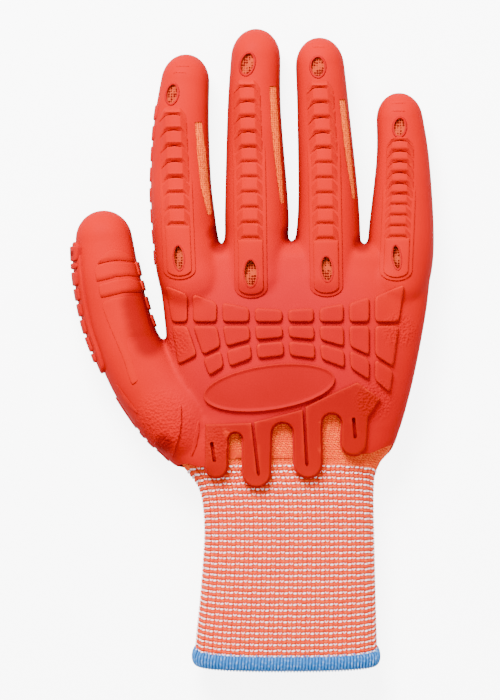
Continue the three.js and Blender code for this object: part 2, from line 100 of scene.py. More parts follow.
# %% Sections of the fingers, the hand and the cuff
FINGERS = {
    "index": (11.6, [(108.5, -26.3, 9.9, 20.5, 0), (91.5, -27.8, 11.2, 23.5, 0), (68, -28, 12.3, 26.7, 0),
                     (53, -26.9, 12.9, 29.5, 0), (45, -26, 13.1, 30.6, 0), (34, -24.3, 13.8, 31.8, 0),
                     (24, -21.4, 13.4, 32, 0), (10, -18, 8, 24, 4)]),
    "middle": (12.1, [(118.3, 2.3, 10.1, 21.5, 0), (96.4, 1.7, 10.9, 24.5, 0), (57.5, 2.7, 12.9, 31, 0),
                      (45, 2.6, 12.9, 32, 0), (34, 2, 13.8, 32.8, 0), (24, 2.6, 13.6, 33.2, 0),
                      (10, 4, 8, 24, 4)]),
    "ring": (11.9, [(115, 28.4, 9.9, 20.5, 0), (96.4, 29.7, 10.6, 24, 0), (57.5, 31.8, 12.4, 30, 0),
                    (34, 30.9, 13.8, 32, 0), (24, 29.6, 13.6, 32.4, 0), (10, 27, 8, 24, 4)]),
    "little": (11.3, [(93.2, 60.8, 9.5, 19, 0), (77, 62, 10.8, 21.5, 0), (50.6, 61.4, 13.1, 27, 0),
                      (34, 60.2, 13.6, 29.4, 0), (24, 56.6, 13.4, 30.4, 0), (10, 50, 8, 22, 4)]),
    "thumb": (12.1, [(44.6, -59.2, 11.6, 23, 0), (30, -57.3, 12.6, 25.5, 0), (13.8, -53.6, 13.1, 27.5, 0),
                     (5, -50.6, 13, 28.4, 0), (-2, -47.6, 13.4, 29, 0), (-15.5, -39.4, 14.5, 30, 0),
                     (-30.4, -26.3, 14.8, 31, 0), (-40.5, -9, 10, 22, 4)]),
}
HAND_CAP = 8.5
HAND = [(35.6, 17.8, 55.6, 29.5, 0), (17, 18.2, 53.3, 33, 0), (-8, 17.3, 49.6, 34, 0),
        (-26.3, 17, 45.4, 32, 0), (-33, 13.8, 46.4, 31, 0), (-39.7, 10.6, 47.2, 30, 0),
        (-46.5, 11, 41.8, 29, 0), (-51, 14, 37.4, 28.5, 0), (-62, 15.4, 36, 28, 0)]
FINGER_ROUND = 2.3
HAND_ROUND = 2.7


def faired(rows, gap):
    """Rows of a table with a smooth curve run through them, about one for each gap."""
    fine = []
    for i in range(len(rows) - 1):
        before, here, there, after = (np.array(rows[min(max(i + k, 0), len(rows) - 1)]) for k in (-1, 0, 1, 2))
        steps = max(1, round(math.dist(here[:2], there[:2]) / gap))
        for t in np.arange(steps) / steps:
            pull = (there - before) * t + (2 * before - 5 * here + 4 * there - after) * t**2
            fine.append(here + (pull + (3 * here - before - 3 * there + after) * t**3) / 2)
    return fine + [np.array(rows[-1])]


# %% [markdown]
# ## Lofting a limb
# A limb is one circle that is extruded from section to section. Each of its corners remembers its own turn
# round the limb in a mesh layer, which Extrude copies, so every new ring can be set to its section whatever
# order its corners come in.

# %% Loft
TIP_TURNS = np.linspace(1.45, 0.2, 8)


def extruded(bm, edges):
    """The corners and the edges of the ring that Extrude makes of another."""
    made = bmesh.ops.extrude_edge_only(bm, edges=edges)["geom"]
    ring = [part for part in made if isinstance(part, bmesh.types.BMVert)]
    new = set(ring)
    return ring, [part for part in made if isinstance(part, bmesh.types.BMEdge) and set(part.verts) <= new]


def outwards(bm):
    bmesh.ops.recalc_face_normals(bm, faces=bm.faces)


def loft(bm, rows, cap, grow, roundness, sides, square):
    """A closed limb through the rows, with a domed tip of length cap."""
    turn = bm.verts.layers.float.get("turn") or bm.verts.layers.float.new("turn")
    fine = faired(rows, gap=3)
    tip = Vector((fine[0][1] - fine[1][1], fine[0][0] - fine[1][0], 0)).normalized()
    rings = [(fine[0], tip * (cap + grow) * math.sin(a), math.cos(a)) for a in TIP_TURNS]
    rings += [(row, Vector(), 1) for row in fine]
    ring = bmesh.ops.create_circle(bm, segments=sides, radius=1)["verts"]
    for i, vert in enumerate(ring):
        vert[turn] = 2 * math.pi * i / sides
    edges = list({edge for vert in ring for edge in vert.link_edges})
    for n, (row, shift, shrink) in enumerate(rings):
        if n:
            ring, edges = extruded(bm, edges)
        i = min(max(n - len(TIP_TURNS), 0), len(fine) - 2)
        along = Vector((fine[i + 1][1] - fine[i][1], fine[i + 1][0] - fine[i][0], 0)).normalized()
        across = Vector((1, 0, 0)) if square else Vector((-along.y, along.x, 0))
        y, x, half, high, low = row
        for vert in ring:
            c, s = math.cos(vert[turn]), math.sin(vert[turn])
            side = shrink * (half + grow) * math.copysign(abs(c) ** (2 / roundness), c)
            up = shrink * ((high - low) / 2 + grow) * math.copysign(abs(s) ** (2 / roundness), s)
            vert.co = Vector((x, y, (high + low) / 2 + up)) + across * side + shift
    bmesh.ops.holes_fill(bm, edges=[edge for edge in bm.edges if edge.is_boundary], sides=0)


def hand_form(grow, sides):
    """The hand and its five fingers as limbs that run into each other."""
    bm = bmesh.new()
    for cap, rows in FINGERS.values():
        loft(bm, rows, cap, grow, FINGER_ROUND, sides, square=False)
    loft(bm, HAND, HAND_CAP, grow, HAND_ROUND, 2 * sides, square=True)
    outwards(bm)
    return bm


# %% [markdown]
# ## One seamless surface
# A dipped glove has no seams, so the limbs are melted into one skin. A voxel remesh does that: it keeps the
# outer surface of everything that overlaps, and a little smoothing rounds the webs between the fingers, as
# the liquid rubber does. The work is done on a helper object, which is removed afterwards.

# %% Helpers for modifiers
def new_object(name, bm):
    mesh = bpy.data.meshes.new(name)
    bm.to_mesh(mesh)
    bm.free()
    return linked(name, mesh)


def settled(obj):
    """The mesh that an object's modifiers make, as a bmesh. The object goes."""
    graph = bpy.context.evaluated_depsgraph_get()
    bm = bmesh.new()
    bm.from_object(obj, graph)
    mesh = obj.data
    bpy.data.objects.remove(obj)
    bpy.data.meshes.remove(mesh)
    return bm


def melted(bm, voxel, smooths):
    obj = new_object("melt", bm)
    remesh = obj.modifiers.new("remesh", "REMESH")
    remesh.mode = "VOXEL"
    remesh.voxel_size = voxel
    smooth = obj.modifiers.new("smooth", "SMOOTH")
    smooth.factor = 0.5
    smooth.iterations = smooths
    return settled(obj)


def cut(bm, cutter):
    """The shape without what the cutter's closed shapes hold."""
    tool = new_object("cutter", cutter)
    obj = new_object("cut", bm)
    boolean = obj.modifiers.new("cut", "BOOLEAN")
    boolean.operation = "DIFFERENCE"
    boolean.solver = "MANIFOLD"
    boolean.object = tool
    result = settled(obj)
    bpy.data.objects.remove(tool)
    return result


def repeated(bm, *ways):
    """A shape repeated. Each way is a count and a step."""
    obj = new_object("repeated", bm)
    for count, step in ways:
        array = obj.modifiers.new("repeat", "ARRAY")
        array.use_relative_offset = False
        array.use_constant_offset = True
        array.constant_offset_displace = step
        array.count = count
    return settled(obj)


def wall(obj, thickness):
    """Thickness given to a surface, on its inside."""
    solid = obj.modifiers.new("wall", "SOLIDIFY")
    solid.thickness = thickness / 1000
    solid.offset = -1


# %% The outside of the skin, which every relief is laid on
ABOVE = 80

outside = melted(hand_form(grow=0, sides=40), voxel=1.05, smooths=5)
outwards(outside)
surface = BVHTree.FromBMesh(outside)
print("skin surface:", len(outside.faces), "faces")


def on_back(x, y, height):
    """The point at a height above the back of the hand."""
    hit = surface.ray_cast(Vector((x, y, ABOVE)), Vector((0, 0, -1)))[0]
    hit = hit or surface.find_nearest(Vector((x, y, MID_HEIGHT)))[0]
    return Vector((x, y, hit.z + height))


# %% [markdown]
# ## Outlines
# A moulded relief is drawn in plan first. These helpers draw the plain outlines that the guards share: ovals,
# strips of changing width along a line, and blocks with round corners.

# %% Outlines in plan
def oval(x, y, rx, ry, turn, count):
    tilt = Matrix.Rotation(math.radians(turn), 2)
    angles = [2 * math.pi * i / count for i in range(count)]
    return [tuple(tilt @ Vector((rx * math.cos(a), ry * math.sin(a))) + Vector((x, y))) for a in angles]


def strip(line, halves):
    """A strip along a line. Each point of the line has its own half width."""
    left, right = [], []
    for i, (x, y) in enumerate(line):
        before, after = Vector(line[max(i - 1, 0)]), Vector(line[min(i + 1, len(line) - 1)])
        along = (after - before).normalized()
        left.append((x - along.y * halves[i], y + along.x * halves[i]))
        right.append((x + along.y * halves[i], y - along.x * halves[i]))
    return left + right[::-1]


def rounded(corners, radius):
    """A polygon with each corner turned into a short arc."""
    outline = []
    for i, corner in enumerate(corners):
        here = Vector(corner)
        back, on = Vector(corners[i - 1]) - here, Vector(corners[(i + 1) % len(corners)]) - here
        reach = min(radius, back.length / 2.2, on.length / 2.2)
        start, end = here + back.normalized() * reach, here + on.normalized() * reach
        for t in (0, 0.33, 0.67, 1):
            outline.append(tuple(start * (1 - t) ** 2 + here * 2 * t * (1 - t) + end * t**2))
    return outline


def prism(bm, outline, low, high):
    """A closed block of an outline."""
    face = bm.faces.new([bm.verts.new((x, y, low)) for x, y in outline])
    top = bmesh.ops.extrude_face_region(bm, geom=[face])["geom"]
    lifted = [part for part in top if isinstance(part, bmesh.types.BMVert)]
    bmesh.ops.translate(bm, verts=lifted, vec=(0, 0, high - low))


def cutter(blocks):
    """Closed blocks to cut with. Each is an outline, its lowest and its highest place."""
    bm = bmesh.new()
    for outline, low, high in blocks:
        prism(bm, outline, low, high)
    outwards(bm)
    return bm


# %% [markdown]
# ## Laying a relief
# A guard is moulded onto a curved back. The relief is made flat: its outline is one face, Extrude gives it
# height, Bevel softens its upper edge, and Bisect cuts it into a grid, so that it can bend. Then each corner
# moves onto the surface, at its own height above it. A face is always sunk a little into what carries it.

# %% Relief
def sliced(bm, point, normal, open_end=False):
    """A mesh cut along a plane. An open end loses what lies beyond it."""
    geom = bm.verts[:] + bm.edges[:] + bm.faces[:]
    bmesh.ops.bisect_plane(bm, geom=geom, dist=1e-4, plane_co=point, plane_no=normal, clear_outer=open_end)


def relief(into, outline, low, high, soft, pitch, lay=on_back, dish=None, slope=None, creases=()):
    """A relief added to a mesh: soft is the width of its bevel and pitch the size of its grid."""
    bm = bmesh.new()
    prism(bm, outline, 0, high - low)
    outwards(bm)
    top = [f for f in bm.faces if f.normal.z > 0.9]
    edges = {edge for f in top for edge in f.edges}
    if dish:
        bmesh.ops.inset_region(bm, faces=top, thickness=dish[0], use_even_offset=True)
        bmesh.ops.translate(bm, verts=list({v for f in top for v in f.verts}), vec=(0, 0, -dish[1]))
        edges |= {edge for f in top for edge in f.edges}
    bmesh.ops.bevel(bm, geom=list(edges), offset=soft, offset_type="OFFSET", segments=3, profile=0.5,
                    affect="EDGES", clamp_overlap=True, material=-1)
    for point, normal in creases:
        sliced(bm, (*point, 0), (*normal, 0))
    for axis, normal in enumerate((Vector((1, 0, 0)), Vector((0, 1, 0)))):
        places = [v.co[axis] for v in bm.verts]
        count = max(1, round((max(places) - min(places)) / pitch))
        for place in np.linspace(min(places), max(places), count + 1)[1:-1]:
            sliced(bm, normal * place, normal)
    bmesh.ops.triangulate(bm, faces=[f for f in bm.faces if len(f.verts) > 4])
    for vert in bm.verts:
        share = slope(vert.co.x, vert.co.y) if slope else 1
        vert.co = lay(vert.co.x, vert.co.y, low + vert.co.z * share)
    bmesh.ops.dissolve_degenerate(bm, dist=1e-3, edges=bm.edges)
    joined(into, bm)


def joined(into, bm):
    mesh = bpy.data.meshes.new("part")
    bm.to_mesh(mesh)
    bm.free()
    into.from_mesh(mesh)
    bpy.data.meshes.remove(mesh)


# %% [markdown]
# ## Finishing a piece
# Each finished mesh becomes an object that rides on the frame's only body, stands for the solids that it
# replaces and names the finish it takes. Rubber and yarn are shaded smooth, and only edges sharper than 50
# degrees stay sharp, or sharper than 34 degrees on the finger guards, whose ribs are flat.

# %% Finish
SHARP, RIB_SHARP = math.radians(50), math.radians(34)


def piece(name, bm, nodes, finish, sharp=SHARP):
    bm.transform(TO_FRAME)
    obj = new_object(name, bm)
    mesh = obj.data
    mesh.materials.append(finish)
    mesh.shade_smooth()
    mesh.set_sharp_from_angle(angle=sharp)
    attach(obj, "root")
    if nodes:
        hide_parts(*nodes)
    print(name, "triangles:", sum(len(f.vertices) - 2 for f in mesh.polygons))
    return obj


# %% [markdown]
# ## Moulded rubber
# The rubber is dull and slightly waxy, coloured through, with a fine orange-peel skin. Raised edges are rubbed
# a little paler and hollows keep a pinkish bloom. Narrow corners, the gaps between the fingers and the thumb's
# inner side get painted shade: an ambient occlusion node and listed spots darken the colour there. The mould
# was sanded in places, which left rougher patches. The skin and the guards share all of this, so it is one
# node group.

# %% Node helpers
def feed(tree, node, values):
    """A node's settings and inputs. A socket among the values is wired, and the others are set."""
    for label, value in values.items():
        if isinstance(value, bpy.types.NodeSocket):
            tree.links.new(value, node.inputs[label])
        elif isinstance(label, str) and label in node.bl_rna.properties:
            setattr(node, label, value)
        else:
            node.inputs[label].default_value = value
    return node


def add(tree, kind, values):
    return feed(tree, tree.nodes.new(kind), values)


def arithmetic(tree, operation, *values, clamp=False):
    settings = {"operation": operation, "use_clamp": clamp}
    return add(tree, "ShaderNodeMath", settings | dict(enumerate(values))).outputs[0]


def ranged(tree, value, low, high, to_low=0, to_high=1, kind="LINEAR"):
    """A value's range from low to high turned into another range."""
    return add(tree, "ShaderNodeMapRange", {"interpolation_type": kind, "From Min": low, "From Max": high,
               "To Min": to_low, "To Max": to_high, "Value": value}).outputs[0]


def noise(tree, place, scale, detail):
    return add(tree, "ShaderNodeTexNoise", {"Scale": scale, "Detail": detail, "Vector": place}).outputs["Fac"]


def mixed(tree, factor, first, second):
    """A colour between two others."""
    values = {"data_type": "RGBA", 0: factor, 6: first, 7: second}
    return add(tree, "ShaderNodeMix", values).outputs[2]


def bumped(tree, height, strength, distance):
    values = {"Strength": strength, "Distance": distance, "Height": height}
    return add(tree, "ShaderNodeBump", values).outputs["Normal"]


def on_object(tree):
    return tree.nodes.new("ShaderNodeTexCoord").outputs["Object"]


def new_material(name):
    material = bpy.data.materials.new(name)
    material.use_nodes = True
    return material, material.node_tree, material.node_tree.nodes["Principled BSDF"]


# %% Moulded rubber group
SANDED = [((-34, -29), 16), ((-12, -37), 9), ((50, -20), 10), ((60, 8), 9), ((-29, 3), 7)]
# Spots of painted shade: down the thumb's inner side, in the gaps between the fingers' roots and left of the
# heel crescent.
SHADED = [((-45.6, 19), 8.5), ((-44.8, 15), 8.5), ((-43.8, 11), 8.5), ((-42.5, 7), 8.5), ((-40.8, 3), 8),
          ((-13.8, 47), 5), ((-12.6, 42.5), 5), ((-34.6, -37.5), 5), ((16.2, 46.5), 5), ((45, 43), 5)]
BLOOM = ((12, -4), 62)


def patch(tree, place, centre, radius):
    """A soft round patch in plan: 1 at its centre and 0 beyond its radius."""
    spot = tuple(in_frame(*centre, 0))
    flat = add(tree, "ShaderNodeVectorMath", {"operation": "MULTIPLY", 0: place, 1: (1, 1, 0)}).outputs[0]
    away = add(tree, "ShaderNodeVectorMath", {"operation": "DISTANCE", 0: flat, 1: spot}).outputs["Value"]
    return ranged(tree, away, radius / 1000, 0.4 * radius / 1000, kind="SMOOTHSTEP")


def patches_of(tree, place, spots):
    """The greatest of several patches."""
    most = patch(tree, place, *spots[0])
    for spot in spots[1:]:
        most = arithmetic(tree, "MAXIMUM", most, patch(tree, place, *spot))
    return most


def moulded_rubber():
    tree = bpy.data.node_groups.new("moulded_rubber", "ShaderNodeTree")
    for way, labels in (("INPUT", ("Base", "Worn", "Bloom", "PaintedShade")), ("OUTPUT", ("Color",))):
        for label in labels:
            tree.interface.new_socket(label, in_out=way, socket_type="NodeSocketColor")
    for label in ("Roughness", "Height"):
        tree.interface.new_socket(label, in_out="OUTPUT", socket_type="NodeSocketFloat")
    given, out = tree.nodes.new("NodeGroupInput").outputs, tree.nodes.new("NodeGroupOutput")
    place = on_object(tree)
    sanded, shaded = patches_of(tree, place, SANDED), patches_of(tree, place, SHADED)
    edge = tree.nodes.new("ShaderNodeNewGeometry").outputs["Pointiness"]
    raised, hollow = ranged(tree, edge, 0.51, 0.6), ranged(tree, edge, 0.49, 0.42)
    pink = arithmetic(tree, "MAXIMUM", patch(tree, place, *BLOOM), hollow)
    tint = mixed(tree, pink, given["Base"], given["Bloom"])
    cloudy = noise(tree, place, 38, 3)
    tone = ranged(tree, cloudy, 0.3, 0.7, 0.93, 1.06)
    body = add(tree, "ShaderNodeVectorMath", {"operation": "SCALE", 0: tint, "Scale": tone}).outputs[0]
    worn = mixed(tree, arithmetic(tree, "MULTIPLY", raised, 0.6), body, given["Worn"])
    # Painted shade: where the ambient occlusion node finds the sky closed off within 25 mm, and in the spots
    # above, the colour is darkened towards the dark shade colour.
    open_sky = add(tree, "ShaderNodeAmbientOcclusion", {"samples": 6, "Distance": 0.025}).outputs["AO"]
    closed = ranged(tree, open_sky, 0.4, 0.06, 0, 0.85)
    corner = arithmetic(tree, "MULTIPLY_ADD", shaded, 0.5, closed, clamp=True)
    rough = arithmetic(tree, "MULTIPLY_ADD", sanded, 0.2, ranged(tree, cloudy, 0, 1, 0.46, 0.6))
    peel = arithmetic(tree, "MULTIPLY", noise(tree, place, 1500, 2), 0.35)
    sand = add(tree, "ShaderNodeTexVoronoi", {"Scale": 950, "Vector": place}).outputs["Distance"]
    grain = arithmetic(tree, "MULTIPLY_ADD", arithmetic(tree, "MULTIPLY", sand, sanded), 5.5, peel)
    feed(tree, out, {"Color": mixed(tree, corner, worn, given["PaintedShade"]), "Roughness": rough,
                     "Height": arithmetic(tree, "MULTIPLY", grain, 0.6)})
    return tree


RUBBER = moulded_rubber()
# The dark colour of the painted shade in corners and gaps.
PAINTED_SHADE_COLOUR = (0.06, 0.0002, 0.0015, 1)


def rubber(name, base, worn, bloom):
    material, tree, shader = new_material(name)
    values = {"node_tree": RUBBER, "Base": base, "Worn": worn, "Bloom": bloom, "PaintedShade": PAINTED_SHADE_COLOUR}
    made = add(tree, "ShaderNodeGroup", values).outputs
    feed(tree, shader, {"Base Color": made["Color"], "Roughness": made["Roughness"],
                        "Normal": bumped(tree, made["Height"], 0.35, 0.0004), "Specular IOR Level": 0.02})
    return material


skin_rubber = rubber("skin_rubber", (0.38, 0.0006, 0, 1), (0.45, 0.004, 0.001, 1), (0.34, 0.0004, 0.005, 1))
guard_rubber = rubber("guard_rubber", (0.38, 0.0015, 0, 1), (0.5, 0.012, 0.001, 1), (0.3, 0.0004, 0.002, 1))
wrist_rubber = rubber("wrist_rubber", (0.3, 0.003, 0, 1), (0.45, 0.015, 0.001, 1), (0.25, 0.001, 0.001, 1))

# %% [markdown]
# ## Yarn
# The knit is made of real stitches, so its material only has to be yarn: matt, with pale flecks, a fine twist
# along each strand, and short fibres that catch the light, which is what sheen is for.

# %% Yarn
def yarn(name, base, fleck, amount):
    material, tree, shader = new_material(name)
    place = on_object(tree)
    flecks = ranged(tree, noise(tree, place, 900, 1), 0.5, 0.72, 0, amount)
    twist = noise(tree, place, 5200, 1)
    feed(tree, shader, {"Base Color": mixed(tree, flecks, base, fleck), "Roughness": 0.85,
                        "Normal": bumped(tree, twist, 0.4, 0.0001), "Specular IOR Level": 0.05,
                        "Sheen Weight": 0.04, "Sheen Roughness": 0.5})
    return material


orange_yarn = yarn("orange_yarn", (0.68, 0.03, 0, 1), (0.8, 0.13, 0.01, 1), 0.6)
plain_yarn = yarn("plain_yarn", (0.8, 0.06, 0.002, 1), (0.95, 0.22, 0.03, 1), 0.6)
white_yarn = yarn("white_yarn", (0.96, 0.8, 0.84, 1), (0.95, 0.4, 0.36, 1), 0.7)
# A darker copy of the orange yarn: painted shade for the cloth behind the stitches and for the liner.
painted_shade_yarn = yarn("painted_shade_yarn", (0.5, 0.02, 0, 1), (0.65, 0.07, 0, 1), 0.5)
blue_thread = yarn("blue_thread", (0.02, 0.15, 0.42, 1), (0.3, 0.42, 0.62, 1), 0.5)
# A darker copy of the blue thread: painted shade for the roll under the hem's wraps.
painted_shade_thread = yarn("painted_shade_thread", (0.01, 0.06, 0.2, 1), (0.05, 0.14, 0.34, 1), 0.5)

# %% [markdown]
# ## The skin
# The skin is a wall, 1.6 mm thick: the outer surface and a smaller one inside it, turned inwards. Vents and
# slits are cut through it, and so is the wrist, whose edge on the back follows the tongues of the wrist guard
# and the arches between them.

# %% Vents, slits and the fluted wrist edge
VENTS = {
    "index": [(-31.5, 103.3, 2, 3.8, -10), (-28.6, 37, 1.8, 4.7, 4)],
    "middle": [(-1.1, 115.4, 2.4, 4.2, -14), (0.2, 30.8, 2.4, 5.2, 0)],
    "ring": [(27.4, 114.3, 2.5, 3.8, 0), (30.8, 32.6, 2.1, 4.8, 4)],
    "little": [(60.4, 90, 2.1, 3.5, -6), (58.9, 37.3, 1.4, 4.6, 6)],
}
SLITS = [([(-20.9, 92), (-19.6, 80), (-18.2, 66), (-16.2, 54.5)], [1.3, 1.8, 1.7, 0.8]),
         ([(9.2, 106.6), (9.9, 93), (11.2, 77), (13, 59)], [1.3, 1.6, 1.3, 0.7]),
         ([(37.2, 101.2), (38.5, 90), (39.8, 78), (41.9, 60.8)], [1.2, 1.4, 1.2, 0.6])]
FLUTES = [(-13.6, 4.9, -51.8), (2.6, 6, -55.5), (23.3, 6, -51.8), (41.7, 5.6, -42.9)]
ARCHES = [(-5.9, 2.5, -33.6), (13, 4, -29.6), (32.8, 3.6, -25.9)]
BACK_EDGE_LEFT = [(-70, -48), (-31, -46.8), (-25.3, -45.8), (-21.2, -47)]
LAST_TONGUE_CORNER = (45.5, -42)
BACK_EDGE_RIGHT = [(48.5, -41.6), (54, -39.2), (59, -37.7), (72, -36), (95, -36)]
PALM_EDGE = [(95, -37), (60, -39), (45, -50), (-15, -50), (-31, -46.8), (-95, -48)]
VENT_CORNERS = 24
CUT_TOP = 60
WALL = 1.6


def half_turn(x, half, end, sign):
    """The round end of a tongue, pointing to the wrist, or of an arch, pointing to the fingers."""
    turns = [math.pi * i / 10 for i in range(11)]
    return [(x - half * math.cos(a), end + sign * half * (1 - math.sin(a))) for a in turns]


def fluted_edge(margin):
    """The line round the tongues and arches, left to right. A margin makes the tongues narrower."""
    edge = []
    for i, (x, half, end) in enumerate(FLUTES):
        edge += half_turn(x, half - margin, end + margin, 1)
        if i < len(ARCHES):
            ax, ahalf, top = ARCHES[i]
            edge += half_turn(ax, ahalf + margin, top + margin, -1)
    return edge


def vent_blocks(vents, low):
    return [(oval(*vent, VENT_CORNERS), low, CUT_TOP) for vent in vents]


def back_cutter():
    """What the skin leaves open on the back: the wrist, the vents and the slits."""
    ex, ey = LAST_TONGUE_CORNER
    edge = [point for point in fluted_edge(0) if not (point[0] > ex and point[1] > ey)]
    back = BACK_EDGE_LEFT + edge + BACK_EDGE_RIGHT
    wrist = [(-95, -90), (95, -90)] + back[::-1] + [(-95, -48)]
    vents = vent_blocks(sum(VENTS.values(), []), MID_HEIGHT + 1)
    slits = [(strip(line, halves), MID_HEIGHT + 1, CUT_TOP) for line, halves in SLITS]
    return cutter([(wrist, MID_HEIGHT, CUT_TOP)] + vents + slits)


def palm_cutter():
    """What the skin leaves open on the palm side of the wrist."""
    return cutter([([(-95, -89), (95, -89)] + PALM_EDGE, -5, MID_HEIGHT + 0.01)])


# %% Skin
def skin():
    """The wall, cut open. Its underside is kept on the floor."""
    shell = outside.copy()
    inside = melted(hand_form(grow=-WALL, sides=28), voxel=2, smooths=2)
    outwards(inside)
    bmesh.ops.reverse_faces(inside, faces=inside.faces)
    joined(shell, inside)
    shell = cut(cut(shell, back_cutter()), palm_cutter())
    for vert in shell.verts:
        vert.co.z = max(vert.co.z, 0)
    nodes = ["index_stall", "middle_stall", "ring_stall", "little_stall", "thumb_stall", "hand_skin"]
    piece("glove_skin", shell, nodes, skin_rubber)


skin()

# %% [markdown]
# ## Finger guards
# Each guard is a low flange with a crisp border, a raised pad round the knuckle vent, and a row of ribs. A rib
# has a flat middle and shoulders that fall away to both sides, and it slopes down towards the wrist before the
# next one starts. That slope is a share of the height, worked out from the place across and along the guard.

# %% Finger guard tables
# Each guard has its fingertip end, its bend, its knuckle end, the far edge of its first rib, the ribs' pitch
# and their count.
GUARDS = {
    "index": ((-31.3, 98), (-30.4, 80), (-28.4, 32.5), 94.8, 6.37, 7),
    "middle": ((-1.5, 109.5), (-0.3, 75), (0.4, 25), 106, 6.14, 10),
    "ring": ((28, 108.5), (29.8, 80), (30.7, 25.6), 105.7, 6.14, 10),
    "little": ((60.6, 87.5), (60.2, 65), (58.6, 32), 84.4, 4.36, 9),
}
FLANGE_HALF = 6.6
PAD_HALF = 5
RIB_HALF = 5.5
FLAT_HALF = 2.9
RIB_GROOVE = 0.3
RIB_HIGH = 2.1
RIB_FALL = 3.3
LEAD = 3.4


def clamped(share):
    return min(max(share, 0), 1)


def guard_middle(guard, y):
    (tx, ty), (bx, by), (ex, ey) = guard[:3]
    return float(np.interp(y, [ey, by, ty], [ex, bx, tx]))


def guard_strip(guard, start, half, end_length):
    """A strip down a guard's middle with a round end at the knuckle."""
    ex, ey = guard[2]
    ys = np.linspace(start, ey, 12)
    left = [(guard_middle(guard, y) - half, y) for y in ys]
    right = [(guard_middle(guard, y) + half, y) for y in ys]
    turns = [math.pi * i / 14 for i in range(1, 14)]
    end = [(ex - half * math.cos(a), ey - end_length * math.sin(a)) for a in turns]
    return left + end + right[::-1]


def rib_outline(guard, far, pitch):
    """An arched far edge and a near edge that follows the next rib's."""
    near = far - pitch + RIB_GROOVE
    x = guard_middle(guard, (far + near) / 2)
    drops = [(-RIB_HALF, RIB_FALL), (-4.3, 1.8), (-FLAT_HALF, 0.35), (0, 0), (FLAT_HALF, 0.35), (4.3, 1.8),
             (RIB_HALF, RIB_FALL)]
    return [(x + d, near - fall) for d, fall in drops] + [(x + d, far - fall) for d, fall in drops[::-1]]


def rib_slope(guard, far, pitch, rise):
    """The share of the full height at a place on the rib, which grows from nothing over the length rise."""
    def share(x, y):
        out = clamped((abs(x - guard_middle(guard, y)) - FLAT_HALF) / (RIB_HALF - FLAT_HALF))
        fall = RIB_FALL * out**1.3
        near = clamped((y + fall - far + pitch - RIB_GROOVE) / 1.2)
        grown = clamped((far - fall - y) / rise) if rise else 1
        return (1 - 0.66 * out) * (0.4 + 0.6 * near) * (0.12 + 0.88 * grown)
    return share


def rib(bm, guard, far, pitch, rise=0):
    """One scale of the row, with a crease down each side of its flat middle."""
    (tx, ty), _, (ex, ey) = guard[:3]
    across = (ty - ey, ex - tx)
    x = guard_middle(guard, far - pitch / 2)
    creases = [((x + side * FLAT_HALF, far - pitch / 2), across) for side in (-1, 1)]
    relief(bm, rib_outline(guard, far, pitch), low=-0.3, high=RIB_HIGH, soft=0.2, pitch=0.6,
           slope=rib_slope(guard, far, pitch, rise), creases=creases)


# %% Finger guards
def vent_rim(bm, vent, height):
    """A low round lip: a circle extruded three times and closed below, its rings set to ovals."""
    x, y, rx, ry, turn = vent
    profile = ((0.1, -1.4), (0.25, height), (0.7, height), (1.15, -0.2))
    ring = bmesh.new()
    bmesh.ops.create_circle(ring, segments=28, radius=1)
    edges = first = ring.edges[:]
    for _ in profile[1:]:
        new, edges = extruded(ring, edges)
        bmesh.ops.translate(ring, verts=new, vec=(0, 0, 1))
    bmesh.ops.bridge_loops(ring, edges=first + edges)
    outwards(ring)
    tilt = Matrix.Rotation(math.radians(turn), 2)
    for vert in ring.verts:
        grow, lift = profile[round(vert.co.z)]
        spot = tilt @ Vector((vert.co.x * (rx + grow), vert.co.y * (ry + grow)))
        vert.co = on_back(x + spot.x, y + spot.y, lift)
    joined(bm, ring)


def finger_guard(name):
    guard = GUARDS[name]
    far, pitch, count = guard[3:]
    last = far - pitch * count
    start = far - 3 * pitch
    base = bmesh.new()
    relief(base, guard_strip(guard, start, FLANGE_HALF, 4.2), low=-0.4, high=0.7, soft=0.3, pitch=1.6,
           slope=lambda x, y: min(max((start - y) / 12, 0.2), 1))
    pad = bmesh.new()
    relief(pad, guard_strip(guard, last - 0.3, PAD_HALF, 2.8), low=-0.4, high=1.5, soft=0.4, pitch=1.5)
    bm = bmesh.new()
    tip_vent, knuckle_vent = VENTS[name]
    for part in (base, pad):
        joined(bm, cut(part, cutter(vent_blocks([knuckle_vent], MID_HEIGHT))))
    lead = min(LEAD, tip_vent[1] - tip_vent[3] - far - 0.4)
    rib(bm, guard, far + lead, lead, lead - 1)
    for i in range(count):
        rib(bm, guard, far - i * pitch, pitch)
    vent_rim(bm, tip_vent, height=0.55)
    vent_rim(bm, knuckle_vent, height=1.75)
    piece(f"{name}_finger_guard", bm, [f"{name}_guard"], guard_rubber, RIB_SHARP)


for name in GUARDS:
    finger_guard(name)

# %% [markdown]
# ## Knuckle blocks
# Three rows of blocks bend over the knuckles. Their columns lean and their rows bow with the square of the
# distance from the middle, so the corners are worked out where a column crosses a row. Grooves between the
# blocks let the fist close.

# %% Knuckle blocks
COLUMNS = [(-31.2, 0.15), (-24.1, 0.3), (-12.2, 0.16), (0.8, 0.07), (14.1, 0.05), (26.7, 0.04), (38.6, 0.03),
           (49, 0), (61, -0.13)]
ROWS = [(17, 0.00425), (10.5, 0), (4.3, -0.006), (-3, -0.0081)]
MID_X, LEAN_FROM = 14.2, 10.5
COLUMN_GAP, ROW_GAP = 1.15, 0.8
NO_LIMIT = 99


def crossing(column, row, shift_x, shift_y):
    """Where a column crosses a row. Only the outer columns lean above the middle too."""
    y = row[0]
    most = NO_LIMIT if column in (COLUMNS[0], COLUMNS[-1]) else 0
    for _ in range(4):
        x = column[0] - column[1] * min(y - LEAN_FROM, most)
        y = row[0] + row[1] * (x - MID_X) ** 2
    return x + shift_x, y + shift_y


